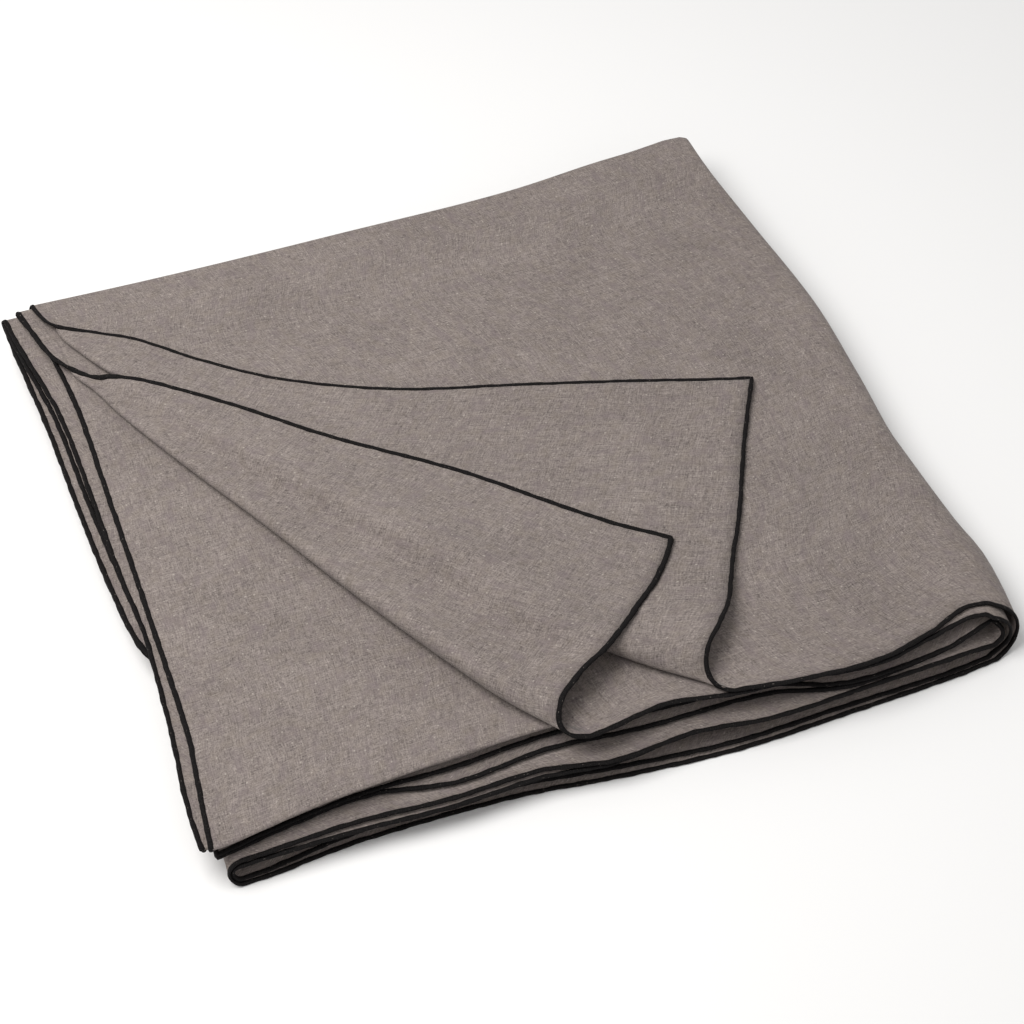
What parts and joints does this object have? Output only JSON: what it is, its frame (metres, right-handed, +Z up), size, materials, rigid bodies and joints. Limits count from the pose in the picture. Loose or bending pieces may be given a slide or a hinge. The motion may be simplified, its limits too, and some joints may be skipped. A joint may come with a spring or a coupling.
{
  "type": "folded tablecloth",
  "caption": "Plain linen tablecloth with a dark rolled edge, folded into a flat square pad with two corners turned back.",
  "frame": {"origin": "middle of the underside, on the surface that the folded cloth rests on", "axes": "+X to the right along the folded front edges, +Y to the back, +Z up"},
  "size_m": [0.4614, 0.4352, 0.0483],
  "materials": {
    "linen": "matt heathered linen, plain weave"
  },
  "bodies": {
    "root": {"cloth": "linen"}
  },
  "joints": []
}
